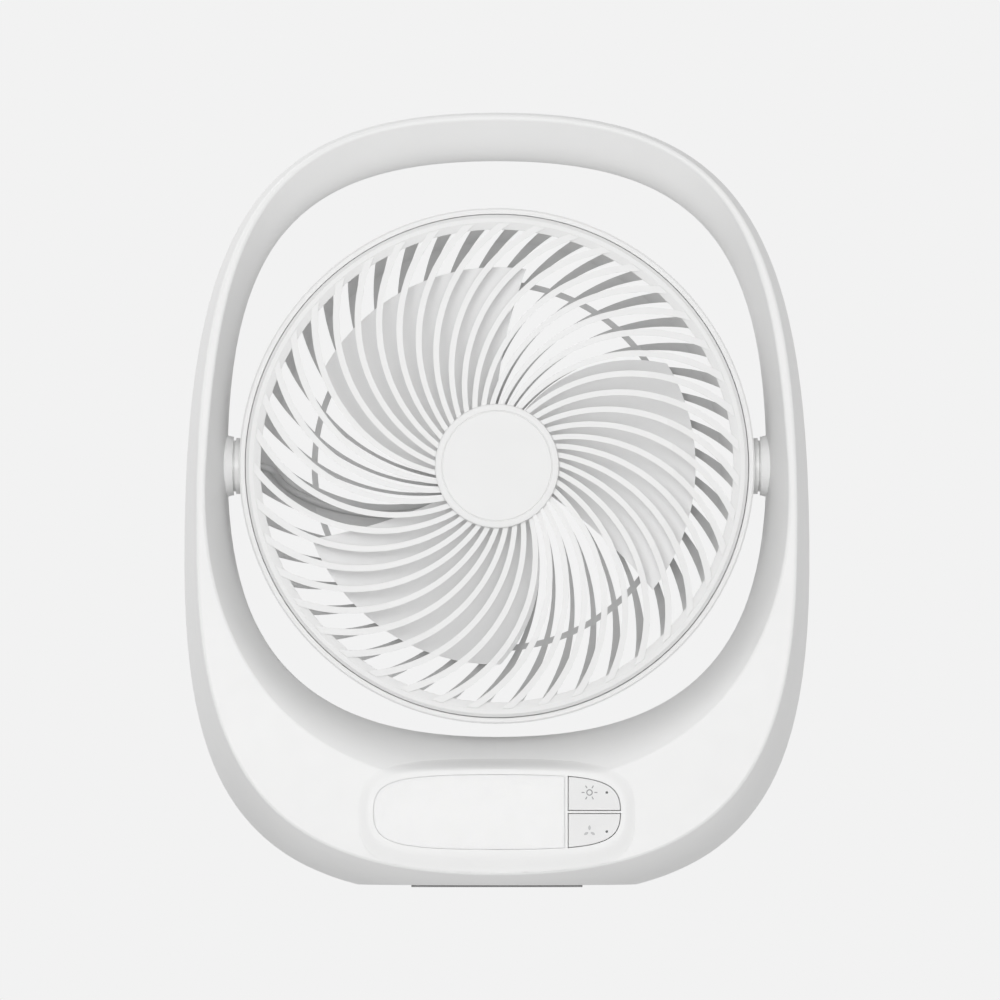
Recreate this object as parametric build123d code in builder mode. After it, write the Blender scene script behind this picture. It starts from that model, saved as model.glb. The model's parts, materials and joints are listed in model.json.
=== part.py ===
from build123d import *

import math
import os

os.makedirs("parts", exist_ok=True)

# A rechargeable desk fan: a round fan head that tilts in a handled frame, with a lamp and two buttons
# in the frame's base. Millimetres. X runs across the fan, Y from its face (negative) to its back,
# and Z up from the surface it stands on.

# Frame in front view
frame_top = 290.0
frame_half_width = 117.2
frame_waist = 122.0
frame_curve_low = -3.8
sole_height = 0.8
frame_upper_fullness = 0.766
frame_lower_fullness = 0.764

# Frame in side view, from the parting plane to the face
base_depth = 45.0
arm_depth = 34.0
handle_depth = 17.0
base_face_height = 50.0
flank_depth = 30.0
shell_wall = 2.4
crest_round = 1.2

# How far the flank draws in, at flank_depth and at base_depth
flank_top_inset = 1.6
flank_side_inset = 3.9
flank_low_inset = 1.8
flank_lower_fullness = 0.75
face_top_inset = 2.8
face_side_inset = 5.8
face_low_inset = 8.8
face_lower_fullness = 0.72

# Opening that the head sits in
pivot_height = 157.5
opening_top = 272.0
opening_half_width = 101.0
opening_bottom = 55.9
opening_upper_fullness = 0.739
opening_lower_fullness = 0.709

# How far the opening has flared out at four depths: depth, at the top, at the sides, at the bottom
flares = [
    (handle_depth / 2, 2.5, 0.8, 0.5),
    (handle_depth, 14.6, 2.5, 2.0),
    (arm_depth, 36.0, 8.0, 8.0),
    (base_depth, 54.0, 14.0, 18.4),
]
face_opening_lower_fullness = 0.62

# Lamp panel in the base
panel_half_width = 46.1
panel_top = 42.2
panel_bottom = 14.3
panel_fullness = 0.85
bezel_width = 2.4
bezel_proud = 0.8
bezel_round = 0.7
panel_block = 6.4
lens_right = 25.3
lens_thickness = 2.6
lens_recess = 0.2
lens_ledge = 2.0
lens_clearance = 0.1
button_left = 26.7
button_gap = 1.3
button_clearance = 0.25
button_flange = 0.5
button_flange_thickness = 1.0
button_flange_gap = 0.1
button_round = 0.3
indicator_radius = 0.6
indicator_length = 3.0
indicator_x = 41.0

# Control board behind the panel
board_thickness = 1.6
board_distance = 7.0
board_left = -49.0
board_right = 55.0
board_bottom = 13.0
board_top = 41.0
board_post_radius = 2.2
board_left_post_x = -44.4
board_right_post_x = 51.6
board_post_spacing = 15.5
led_size = (3.0, 0.8, 3.0)
led_columns = 6
led_rows = 2
led_pitch = (10.0, 10.0)
switch_size = 6.0
switch_height = 3.6
plunger_radius = 1.7
plunger_depth = 2.0
plunger_clearance = 0.06
press_travel = 0.6

# Battery, charging board and inlet
cell_radius = 9.2
cell_length = 65.0
cell_clearance = 0.1
cell_front_y = 0.0
cell_pitch = 19.4
holder_floor = 1.8
holder_wall = 2.0
charge_board_width = 34.0
charge_board_low = 13.0
charge_board_high = 35.0
charge_board_distance = 5.0
inlet_width = 9.0
inlet_height = 3.3
inlet_z = 24.0
inlet_recess = 0.6
inlet_clearance = 0.2

# Feet
foot_half_length = 32.0
foot_width = 9.0
foot_set_in = 1.2
foot_y = 26.0

# Screws
shell_screw_places = [(45.0, 275.6), (106.8, 203.0), (94.0, 72.0), (64.0, 24.0)]
shell_boss_radius = 4.2
shell_screw_seat = 8.0
shell_screw_bite = 9.0
shell_screw_radius = 1.4
shell_screw_head_radius = 2.7
shell_screw_head = 2.0
small_screw_radius = 0.95
small_screw_head_radius = 1.8
small_screw_head = 1.2
small_screw_bite = 4.5
screw_clearance = 0.1

grille_screw_angles = (45, 135, 225, 315)
grille_screw_circle = 92.4
grille_screw_bite = 4.0

# Pivots
pivot_boss_radius = 11.0
pivot_boss_face = 99.2
pivot_boss_end = 112.6
bush_radius = 8.0
bush_end = 106.0
trunnion_radius = 6.0
trunnion_clearance = 0.05
trunnion_bore = 2.0
trunnion_flange_radius = 8.0
trunnion_flange = 1.8
washer_radius = 10.5
washer_face = 98.3

# Head rim
rim_radius = 96.6
rim_front = -16.0
rim_seat = -11.0
rim_lip_radius = 94.4
rim_inner_radius = 90.6
rim_straight_back = 6.0
rim_back = 12.0
rim_back_radius = 92.6

# Front grille: ribs are arcs that sweep round from the hub
front_rib_count = 43
front_rib_width = 2.5
front_rib_root_width = 1.9
front_rib_arc_radius = 58.9
front_rib_arc_distance = 55.6
front_rib_arc_angle = -84.5
front_face_y = -24.0
front_flat_radius = 66.0
front_rim_rib_y = -20.4
front_rib_depth = 2.8
front_ring_inner_radius = 88.5
front_ring_clearance = 0.3
front_ring_crown_y = -20.0
front_rib_end_radius = 90.8
hub_radius = 22.0
hub_front_y = -27.2
hub_rim_width = 2.5
hub_cap_thickness = 1.3
hub_cap_clearance = 0.2
hub_round = 0.6

# Rear grille
rear_rib_count = 44
rear_rib_width = 1.5
rear_rib_rim_width = 4.4
rear_rib_arc_radius = 71.7
rear_rib_arc_distance = 67.9
rear_rib_arc_angle = -96.9
rear_dome = [(92.0, 12.0), (84.0, 18.0), (70.0, 24.0), (20.0, 29.0)]
rear_rib_depth = 2.6
rear_ring_radius = 68.5
rear_ring_width = 2.2
strut_width = 9.0
strut_rim_angle = 180.0
rear_hub_radius = 23.0
rear_hub_y = 30.5

# Motor, its cup and the cap behind it
motor_radius = 12.0
motor_front_y = 2.0
motor_length = 25.0
can_wall = 1.0
cup_clearance = 0.15
cup_wall = 2.6
cup_front_wall = 1.6
motor_screw_spacing = 15.0
rear_cap_ledge = 1.4
rear_cap_thickness = 1.7
rear_cap_clearance = 0.15
shaft_radius = 1.15
shaft_front_y = -13.0
shaft_clearance = 0.04
bush_outer_radius = 3.5
bush_length = 2.0
rotor_radius = 8.6
rotor_front_y = 8.0
rotor_back_y = 19.0
magnet_inner_radius = 9.1
magnet_front_y = 6.0
magnet_back_y = 21.0
commutator_radius = 3.0
commutator_length = 3.0
brush_gap = 0.3
brush_size = 2.0

# Impeller
blade_count = 3
blade_tip_radius = 74.5
blade_root_radius = 16.0
blade_thickness = 1.8
blade_root_pitch = 20.0
blade_tip_pitch = 12.0
blade_camber = 2.0
blade_forward = 2.0
blade_trailing_angles = (-27.0, -33.5, -38.5)
blade_leading_angles = (68.0, 50.5, 31.0)
impeller_hub_radius = 18.6
impeller_hub_front_y = -16.5
impeller_hub_back_y = 9.0
impeller_hub_wall = 2.2
impeller_hub_bevel = 3.0
impeller_boss_radius = 4.0
impeller_boss_back_y = 0.2

# Motor lead
lead_radius = 1.3
lead_slot = 7.2
lead_meeting_x = -97.5
lead_gap = 0.5
lead_clearance = 0.6
lead_corner_share = 0.45
lead_drop_x = -109.3
arm_lead_route = [(-105, 2, 105), (-102, 6, 70), (-92, 14, 44), (-68, 20, 34)]
lead_end_x = -6.0
lead_end_z = 28.0
head_lead_start_x = -85.0
head_lead_radii = (80, 66, 50, 34)

# Worked-out places
panel_middle = (panel_top + panel_bottom) / 2
panel_front_y = -(base_depth + bezel_proud)
panel_back_y = panel_front_y + panel_block
rear_depth = base_depth + bezel_proud
lens_front_y = panel_front_y + lens_recess
lens_seat_y = lens_front_y + lens_thickness
board_front_y = panel_back_y + board_distance
floor_z = sole_height + shell_wall
cell_z = floor_z + holder_floor + cell_radius
cell_rear_y = cell_front_y + cell_pitch
rear_inner_y = rear_depth - shell_wall
charge_board_back_y = rear_inner_y - charge_board_distance
charge_board_front_y = charge_board_back_y - board_thickness
far = 200.0

head_plane = Plane(origin=(0, 0, pivot_height), x_dir=(1, 0, 0), z_dir=(0, -1, 0))
section_plane = Plane(origin=(0, 0, pivot_height), x_dir=(1, 0, 0), z_dir=(0, 0, 1))
spin_axis = Axis((0, 0, pivot_height), (0, 1, 0))


def polar(radius, angle):
    """Point of the head's front view at a radius and an angle in degrees."""
    return (radius * math.cos(math.radians(angle)), radius * math.sin(math.radians(angle)))


def outline(y, top, half_width, waist, bottom, upper, lower):
    """Rounded front-view outline at depth y, upright at its waist and level at its top and bottom."""
    with BuildLine(Plane.XZ.offset(-y)) as path:
        Bezier(
            (0, bottom),
            (half_width * lower, bottom),
            (half_width, waist - (waist - bottom) * lower),
            (half_width, waist),
        )
        Bezier(
            (half_width, waist),
            (half_width, waist + (top - waist) * upper),
            (half_width * upper, top),
            (0, top),
        )
        mirror(about=Plane.YZ)
    return Face(path.wire())


def frame_outline(y, inset, top_inset, side_inset, low_inset, lower_fullness):
    """Frame outline at depth y, drawn in from the silhouette."""
    return outline(
        y,
        frame_top - top_inset - inset,
        frame_half_width - side_inset - inset,
        frame_waist,
        frame_curve_low + low_inset + inset,
        frame_upper_fullness,
        lower_fullness,
    )


def half_body(inset, depth):
    """Front half of the frame without its opening, every outer face moved in by inset."""
    with BuildPart() as body:
        loft(
            [
                frame_outline(0, inset, 0, 0, 0, frame_lower_fullness),
                frame_outline(
                    -flank_depth,
                    inset,
                    flank_top_inset,
                    flank_side_inset,
                    flank_low_inset,
                    flank_lower_fullness,
                ),
                frame_outline(
                    -depth,
                    inset,
                    face_top_inset,
                    face_side_inset,
                    face_low_inset,
                    face_lower_fullness,
                ),
            ]
        )
        with BuildSketch(Plane.YZ):
            with BuildLine():
                Polyline(
                    (inset - handle_depth, frame_top + 1),
                    (1, frame_top + 1),
                    (1, frame_curve_low - 1),
                    (inset - depth, frame_curve_low - 1),
                    (inset - depth, base_face_height),
                )
                Spline(
                    (inset - depth, base_face_height),
                    (inset - arm_depth, pivot_height),
                    (inset - handle_depth, frame_top + 1),
                    tangents=[(0, 1), (0.1, 1)],
                )
            make_face()
        extrude(amount=frame_half_width + 1, both=True, mode=Mode.INTERSECT)
        split(bisect_by=Plane.XY.offset(sole_height + inset), keep=Keep.TOP)
    return body.part


def opening_horn(grow, depth):
    """Opening through the front half of the frame, flaring towards the face."""
    sections = [(0, 0, 0, 0)] + flares
    rings = []
    for at, top, side, low in sections:
        share = at / base_depth
        fullness = opening_lower_fullness
        fullness += (face_opening_lower_fullness - opening_lower_fullness) * share
        rings.append(
            outline(
                -at * depth / base_depth,
                opening_top + top + grow,
                opening_half_width + side + grow,
                pivot_height,
                opening_bottom - low - grow,
                opening_upper_fullness,
                fullness,
            )
        )
    with BuildPart() as horn:
        loft(rings)
    return horn.part


def crest_edges(half):
    """Edges all round the face of a frame half, apart from those inside the face."""
    face_types = (GeomType.PLANE, GeomType.EXTRUSION)
    face = [f for f in half.faces() if f.geom_type in face_types and f.center().Y < -handle_depth]
    edges = {}
    for edge in ShapeList(face).edges():
        edges.setdefault((round(edge.length, 2), round(edge.center().X, 2)), []).append(edge)
    return [found[0] for found in edges.values() if len(found) == 1]


def solid_half(depth):
    """Front half of the frame with its opening, not yet hollow, its crests rounded."""
    with BuildPart() as half:
        add(half_body(0, depth))
        add(opening_horn(0, depth), mode=Mode.SUBTRACT)
        fillet(crest_edges(half.part), crest_round)
    return half.part


def half_cavity(depth):
    """Hollow inside a frame half, open at the parting plane."""
    with BuildPart() as cavity:
        add(half_body(shell_wall, depth))
        add(opening_horn(shell_wall, depth), mode=Mode.SUBTRACT)
    return cavity.part


def rod(start, end, radius):
    """Round rod from one point to another."""
    line = Vector(*end) - Vector(*start)
    with BuildPart() as piece:
        with BuildSketch(Plane(origin=start, z_dir=line)):
            Circle(radius)
        extrude(amount=line.length)
    return piece.part


def screws(places, way, head_radius, head, radius, length):
    """Screws seated at places, their shanks running along way, with a cross in each head."""
    with BuildPart() as group:
        for place in places:
            seat = Plane(origin=place, z_dir=way)
            with BuildSketch(seat):
                Circle(radius)
            extrude(amount=length)
            with BuildSketch(seat):
                Circle(head_radius)
            extrude(amount=-head)
            with BuildSketch(seat.offset(-head)):
                Rectangle(head_radius * 1.2, head_radius * 0.3)
                Rectangle(head_radius * 0.3, head_radius * 1.2)
            extrude(amount=head / 2, mode=Mode.SUBTRACT)
    return group


def panel_slab(grow, front, back, x_low, x_high, z_low, z_high):
    """Slab of the lamp panel's outline between two depths, cut to a box and grown all round."""
    with BuildPart() as slab:
        extrude(
            outline(
                front,
                panel_top + grow,
                panel_half_width + grow,
                panel_middle,
                panel_bottom - grow,
                panel_fullness,
                panel_fullness,
            ),
            amount=front - back,
        )
        with Locations(((x_low + x_high) / 2, (front + back) / 2, (z_low + z_high) / 2)):
            Box(
                x_high - x_low + 2 * grow,
                back - front,
                z_high - z_low + 2 * grow,
                mode=Mode.INTERSECT,
            )
    return slab.part


def lens_slab(grow, front, back):
    return panel_slab(grow, front, back, -far, lens_right, -far, far)


def button_slab(row, grow, front, back):
    """Upper (row 1) or lower (row -1) button outline between two depths."""
    inner = panel_middle + row * button_gap / 2
    outer = row * far
    return panel_slab(grow, front, back, button_left, far, min(inner, outer), max(inner, outer))


def button_middle(row):
    """Middle of a button in front view."""
    return (
        (button_left + panel_half_width) / 2,
        panel_middle + row * (button_gap / 2 + panel_top - panel_middle) / 2,
    )


def swept_rib(start, end, widths, arc_radius, arc_distance, arc_angle):
    """Rib bounded by two arcs from one radius to another, with its width at start, middle and end."""
    radii = (start, (start + end) / 2, end)

    def side(way):
        points = []
        for radius, width in zip(radii, widths):
            reach = arc_radius + way * width / 2
            cosine = (radius**2 + arc_distance**2 - reach**2) / (2 * radius * arc_distance)
            points.append(polar(radius, arc_angle + math.degrees(math.acos(cosine))))
        return points

    left = side(1)
    right = side(-1)
    with BuildSketch() as rib:
        with BuildLine():
            ThreePointArc(*left)
            Line(left[2], right[2])
            ThreePointArc(right[2], right[1], right[0])
            Line(right[0], left[0])
        make_face()
    return rib.sketch


def arc_angle_at(radius, arc_radius, arc_distance):
    """Angle from a rib's arc centre to the point where the arc crosses a radius."""
    cosine = (radius**2 + arc_distance**2 - arc_radius**2) / (2 * radius * arc_distance)
    return math.degrees(math.acos(cosine))


def turned(points):
    """Solid turned about the spin axis from (radius, depth) corners."""
    with BuildPart() as piece:
        with BuildSketch(section_plane):
            with BuildLine():
                Polyline(*points, close=True)
            make_face()
        revolve(axis=spin_axis)
    return piece.part


def ring(inner, outer, front, back):
    """Plain ring about the spin axis, or a disc where inner is 0."""
    return turned([(inner, front), (outer, front), (outer, back), (inner, back)])


def lead(points):
    """Round lead along points, each corner rounded as widely as its two runs allow."""
    places = [Vector(*point) for point in points]
    radii = []
    for before, corner, after in zip(places, places[1:], places[2:]):
        turn = (corner - before).get_angle(after - corner)
        shorter = min((corner - before).length, (after - corner).length)
        radii.append(lead_corner_share * shorter / math.tan(math.radians(turn / 2)))
    with BuildPart() as piece:
        with BuildLine() as path:
            FilletPolyline(*places, radius=radii)
        with BuildSketch(Plane(origin=path.line @ 0, z_dir=path.line % 0)):
            Circle(lead_radius)
        sweep()
    return piece


# Frame shells
front_solid = solid_half(base_depth)
front_cavity = half_cavity(base_depth)
rear_solid = solid_half(rear_depth).mirror(Plane.XZ)
rear_cavity = half_cavity(rear_depth).mirror(Plane.XZ)

with BuildPart() as pivot_bosses:
    for way in (-1, 1):
        add(rod((way * rim_radius, 0, pivot_height), (way * pivot_boss_end, 0, pivot_height), pivot_boss_radius))
    add(ring(0, pivot_boss_face, -far, far), mode=Mode.SUBTRACT)

with BuildPart() as pivot_bores:
    for way in (-1, 1):
        add(rod((way * rim_radius, 0, pivot_height), (way * bush_end, 0, pivot_height), bush_radius))
        add(rod((way * rim_radius, 0, pivot_height), (way * pivot_boss_end, 0, pivot_height), trunnion_radius))
        with Locations((way * (bush_end + pivot_boss_end) / 2, 0, pivot_height - pivot_boss_radius)):
            Box(pivot_boss_end - bush_end, lead_slot, 2 * pivot_boss_radius)

shell_screw_points = [(way * x, z) for x, z in shell_screw_places for way in (-1, 1)]

with BuildPart() as bezel:
    add(panel_slab(bezel_width, panel_front_y, panel_back_y, -far, far, -far, far))
    fillet(bezel.faces().sort_by(Axis.Y)[0].edges(), bezel_round)

with BuildPart() as front_posts:
    for x, z in shell_screw_points:
        add(rod((x, -base_depth, z), (x, 0, z), shell_boss_radius))
    add(front_solid, mode=Mode.INTERSECT)

with BuildPart() as front_shell:
    add(front_solid)
    add(front_cavity, mode=Mode.SUBTRACT)
    add(front_posts.part)
    add(pivot_bosses.part.split(Plane.XZ, keep=Keep.TOP))
    add(bezel.part)
    for x in (board_left_post_x, board_right_post_x):
        for row in (-1, 1):
            z = panel_middle + row * board_post_spacing / 2
            add(rod((x, -base_depth + shell_wall / 2, z), (x, board_front_y, z), board_post_radius))
    add(lens_slab(lens_clearance, panel_front_y, lens_seat_y), mode=Mode.SUBTRACT)
    add(lens_slab(-lens_ledge, panel_front_y, panel_back_y), mode=Mode.SUBTRACT)
    for row in (-1, 1):
        add(button_slab(row, button_clearance, panel_front_y, panel_back_y), mode=Mode.SUBTRACT)
        for x in (board_left_post_x, board_right_post_x):
            z = panel_middle + row * board_post_spacing / 2
            hole = small_screw_radius + screw_clearance
            add(rod((x, board_front_y - small_screw_bite, z), (x, board_front_y, z), hole), mode=Mode.SUBTRACT)
    for x, z in shell_screw_points:
        hole = shell_screw_radius + screw_clearance
        add(rod((x, -shell_screw_bite - 1, z), (x, 0, z), hole), mode=Mode.SUBTRACT)
    add(pivot_bores.part, mode=Mode.SUBTRACT)
    with Locations((0, -foot_y, sole_height)):
        Box(2 * foot_half_length, foot_width, 2 * foot_set_in, mode=Mode.SUBTRACT)

with BuildPart() as rear_posts:
    for x, z in shell_screw_points:
        add(rod((x, 0, z), (x, rear_depth, z), shell_boss_radius))
    add(rear_solid, mode=Mode.INTERSECT)

with BuildPart() as rear_shell:
    add(rear_solid)
    add(rear_cavity, mode=Mode.SUBTRACT)
    add(rear_posts.part)
    add(pivot_bosses.part.split(Plane.XZ, keep=Keep.BOTTOM))
    for x in (-1, 1):
        for z in (charge_board_low + 3, charge_board_high - 3):
            post_x = x * (charge_board_width / 2 - 3)
            add(rod((post_x, charge_board_back_y, z), (post_x, rear_depth - 0.5, z), board_post_radius))
            hole = small_screw_radius + screw_clearance
            add(
                rod((post_x, charge_board_back_y, z), (post_x, charge_board_back_y + small_screw_bite, z), hole),
                mode=Mode.SUBTRACT,
            )
    for x, z in shell_screw_points:
        hole = shell_screw_radius + screw_clearance
        add(rod((x, 0, z), (x, rear_depth, z), hole), mode=Mode.SUBTRACT)
        recess = shell_screw_head_radius + screw_clearance
        add(rod((x, shell_screw_seat, z), (x, rear_depth + 1, z), recess), mode=Mode.SUBTRACT)
    add(pivot_bores.part, mode=Mode.SUBTRACT)
    with BuildSketch(Plane.XZ.offset(-rear_depth - 1)):
        with Locations((0, inlet_z)):
            SlotOverall(inlet_width + 2 * inlet_clearance, inlet_height + 2 * inlet_clearance)
    extrude(amount=2 * shell_wall, mode=Mode.SUBTRACT)
    with Locations((0, foot_y, sole_height)):
        Box(2 * foot_half_length, foot_width, 2 * foot_set_in, mode=Mode.SUBTRACT)

shell_screws = screws(
    [(x, shell_screw_seat, z) for x, z in shell_screw_points],
    (0, -1, 0),
    shell_screw_head_radius,
    shell_screw_head,
    shell_screw_radius,
    shell_screw_seat + shell_screw_bite,
)

# Feet
feet = {}
for name, y in (("front_foot", -foot_y), ("rear_foot", foot_y)):
    with BuildPart() as foot:
        with Locations((0, y, (sole_height + foot_set_in) / 2)):
            Box(2 * foot_half_length, foot_width, sole_height + foot_set_in)
        fillet(foot.edges().filter_by(Axis.Z), foot_width / 4)
    feet[name] = foot

# Lamp and buttons
with BuildPart() as light_lens:
    add(lens_slab(0, lens_front_y, lens_seat_y))

with BuildPart() as control_board:
    with BuildSketch(Plane.XZ.offset(-board_front_y)):
        with Locations(((board_left + board_right) / 2, (board_bottom + board_top) / 2)):
            RectangleRounded(board_right - board_left, board_top - board_bottom, 2)
        with Locations(
            [
                (x, panel_middle + row * board_post_spacing / 2)
                for x in (board_left_post_x, board_right_post_x)
                for row in (-1, 1)
            ]
        ):
            Circle(small_screw_radius + screw_clearance, mode=Mode.SUBTRACT)
    extrude(amount=-board_thickness)

control_board_screws = screws(
    [
        (x, board_front_y + board_thickness, panel_middle + row * board_post_spacing / 2)
        for x in (board_left_post_x, board_right_post_x)
        for row in (-1, 1)
    ],
    (0, -1, 0),
    small_screw_head_radius,
    small_screw_head,
    small_screw_radius,
    board_thickness + small_screw_bite - 0.5,
)

with BuildPart() as light_leds:
    lamp_middle = (lens_right - panel_half_width) / 2
    with BuildSketch(Plane.XZ.offset(-board_front_y)):
        with Locations((lamp_middle, panel_middle)):
            with GridLocations(led_pitch[0], led_pitch[1], led_columns, led_rows):
                Rectangle(led_size[0], led_size[2])
    extrude(amount=led_size[1])

buttons = {}
for name, row in (("light", 1), ("fan", -1)):
    middle_x, middle_z = button_middle(row)
    flange_front = panel_back_y + button_flange_gap
    flange_back = flange_front + button_flange_thickness
    switch_front = board_front_y - switch_height
    with BuildPart() as button:
        add(button_slab(row, 0, panel_front_y, flange_back))
        front_edges = button.faces().sort_by(Axis.Y)[0].edges()
        fillet(front_edges, button_round)
        add(button_slab(row, button_flange, flange_front, flange_back))
        add(
            rod(
                (indicator_x, panel_front_y, middle_z),
                (indicator_x, panel_front_y + indicator_length, middle_z),
                indicator_radius,
            ),
            mode=Mode.SUBTRACT,
        )
    with BuildPart() as indicator:
        add(
            rod(
                (indicator_x, panel_front_y, middle_z),
                (indicator_x, panel_front_y + indicator_length, middle_z),
                indicator_radius,
            )
        )
    with BuildPart() as switch:
        with Locations((middle_x, board_front_y - switch_height / 2, middle_z)):
            Box(switch_size, switch_height, switch_size)
        add(
            rod(
                (middle_x, switch_front, middle_z),
                (middle_x, switch_front + plunger_depth + press_travel + 0.2, middle_z),
                plunger_radius + plunger_clearance,
            ),
            mode=Mode.SUBTRACT,
        )
    with BuildPart() as plunger:
        add(
            rod(
                (middle_x, flange_back, middle_z),
                (middle_x, switch_front + plunger_depth, middle_z),
                plunger_radius,
            )
        )
    buttons[name + "_button"] = button
    buttons[name + "_indicator"] = indicator
    buttons[name + "_switch"] = switch
    buttons[name + "_plunger"] = plunger

# Battery
with BuildPart() as battery_holder:
    holder_front = cell_front_y - cell_radius - cell_clearance - holder_wall
    holder_back = cell_rear_y + cell_radius + cell_clearance + holder_wall
    holder_half = cell_length / 2 + cell_clearance + holder_wall
    with Locations((0, (holder_front + holder_back) / 2, (floor_z + cell_z) / 2)):
        Box(2 * holder_half, holder_back - holder_front, cell_z - floor_z)
    for y in (cell_front_y, cell_rear_y):
        reach = cell_length / 2 + cell_clearance
        add(rod((-reach, y, cell_z), (reach, y, cell_z), cell_radius + cell_clearance), mode=Mode.SUBTRACT)

cells = {}
for name, y in (("battery_cell_front", cell_front_y), ("battery_cell_rear", cell_rear_y)):
    with BuildPart() as cell:
        add(rod((-cell_length / 2, y, cell_z), (cell_length / 2 - 1, y, cell_z), cell_radius))
        add(rod((cell_length / 2 - 1, y, cell_z), (cell_length / 2, y, cell_z), cell_radius / 3))
    cells[name] = cell

# Charging board and inlet
charge_screw_points = [
    (x * (charge_board_width / 2 - 3), z)
    for x in (-1, 1)
    for z in (charge_board_low + 3, charge_board_high - 3)
]
with BuildPart() as charge_board:
    with BuildSketch(Plane.XZ.offset(-charge_board_back_y)):
        with Locations((0, (charge_board_low + charge_board_high) / 2)):
            RectangleRounded(charge_board_width, charge_board_high - charge_board_low, 2)
        with Locations(charge_screw_points):
            Circle(small_screw_radius + screw_clearance, mode=Mode.SUBTRACT)
    extrude(amount=board_thickness)

charge_board_screws = screws(
    [(x, charge_board_front_y, z) for x, z in charge_screw_points],
    (0, 1, 0),
    small_screw_head_radius,
    small_screw_head,
    small_screw_radius,
    board_thickness + small_screw_bite - 0.5,
)

with BuildPart() as charge_socket:
    socket_back = rear_depth - inlet_recess
    with BuildSketch(Plane.XZ.offset(-charge_board_back_y)):
        with Locations((0, inlet_z)):
            SlotOverall(inlet_width, inlet_height)
    extrude(amount=charge_board_back_y - socket_back)
    with BuildSketch(Plane.XZ.offset(-socket_back)):
        with Locations((0, inlet_z)):
            SlotOverall(inlet_width - 0.6, inlet_height - 0.6)
    extrude(amount=socket_back - charge_board_back_y - 1, mode=Mode.SUBTRACT)
    with Locations((0, (charge_board_back_y + socket_back - 1) / 2, inlet_z)):
        Box(inlet_width * 0.72, socket_back - 1 - charge_board_back_y, 0.7)

# Pivot bushes, in the arms
bushes = {}
trunnions = {}
washers = {}
for name, way in (("left", -1), ("right", 1)):
    with BuildPart() as bush:
        add(rod((way * rim_radius, 0, pivot_height), (way * bush_end, 0, pivot_height), bush_radius))
        add(ring(0, pivot_boss_face, -far, far), mode=Mode.SUBTRACT)
        bore = trunnion_radius + trunnion_clearance
        add(rod((0, 0, pivot_height), (way * far, 0, pivot_height), bore), mode=Mode.SUBTRACT)
    bushes[name + "_pivot_bush"] = bush
    with BuildPart() as trunnion:
        inside = rim_inner_radius - trunnion_flange
        add(rod((way * inside, 0, pivot_height), (way * rim_radius, 0, pivot_height), trunnion_flange_radius))
        add(ring(0, rim_inner_radius, -far, far), mode=Mode.INTERSECT)
        add(rod((way * inside, 0, pivot_height), (way * (bush_end - 0.4), 0, pivot_height), trunnion_radius))
        add(rod((0, 0, pivot_height), (way * far, 0, pivot_height), trunnion_bore), mode=Mode.SUBTRACT)
    trunnions[name + "_trunnion"] = trunnion
    with BuildPart() as washer:
        add(rod((way * rim_inner_radius, 0, pivot_height), (way * bush_end, 0, pivot_height), washer_radius))
        add(ring(rim_radius, washer_face, -far, far), mode=Mode.INTERSECT)
        add(rod((0, 0, pivot_height), (way * far, 0, pivot_height), trunnion_radius), mode=Mode.SUBTRACT)
    washers[name + "_pivot_washer"] = washer

# Front grille
front_rib = swept_rib(
    hub_radius - 2,
    front_rib_end_radius,
    (front_rib_root_width, (front_rib_root_width + front_rib_width) / 2, front_rib_width),
    front_rib_arc_radius,
    front_rib_arc_distance,
    front_rib_arc_angle,
)
front_ring_radius = rim_lip_radius - front_ring_clearance
front_ring_mid = (front_ring_inner_radius + front_ring_radius) / 2
hub_pocket_y = hub_front_y + hub_cap_thickness
hub_back_y = front_face_y + front_rib_depth
with BuildPart() as front_grille:
    with BuildSketch(head_plane):
        with PolarLocations(0, front_rib_count):
            add(front_rib)
    extrude(amount=far)
    add(
        turned(
            [
                (0, front_face_y),
                (front_flat_radius, front_face_y),
                (front_rib_end_radius, front_rim_rib_y),
                (front_rib_end_radius, front_rim_rib_y + front_rib_depth),
                (front_flat_radius, hub_back_y),
                (0, hub_back_y),
            ]
        ),
        mode=Mode.INTERSECT,
    )
    add(
        turned(
            [
                (front_ring_inner_radius, front_ring_crown_y + 1.2),
                (front_ring_mid, front_ring_crown_y),
                (front_ring_radius - 1.2, front_ring_crown_y + 0.3),
                (front_ring_radius, front_ring_crown_y + 1.5),
                (front_ring_radius, rim_seat),
                (rim_inner_radius, rim_seat),
                (rim_inner_radius, front_ring_crown_y + 4.2),
                (front_ring_inner_radius, front_ring_crown_y + 3.8),
            ]
        )
    )
    add(
        turned(
            [
                (0, hub_pocket_y),
                (hub_radius - hub_rim_width, hub_pocket_y),
                (hub_radius - hub_rim_width, hub_front_y),
                (hub_radius - hub_round, hub_front_y),
                (hub_radius, hub_front_y + hub_round),
                (hub_radius, hub_back_y),
                (0, hub_back_y),
            ]
        )
    )
    with BuildSketch(Plane(origin=(0, rim_seat, pivot_height), x_dir=(1, 0, 0), z_dir=(0, -1, 0))):
        with Locations([polar(grille_screw_circle, angle) for angle in grille_screw_angles]):
            Circle(small_screw_radius + screw_clearance)
    extrude(amount=grille_screw_bite + 0.5, mode=Mode.SUBTRACT)

with BuildPart() as hub_cap:
    cap_radius = hub_radius - hub_rim_width - hub_cap_clearance
    add(
        turned(
            [
                (0, hub_front_y),
                (cap_radius - 0.3, hub_front_y),
                (cap_radius, hub_front_y + 0.3),
                (cap_radius, hub_pocket_y),
                (0, hub_pocket_y),
            ]
        )
    )

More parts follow.
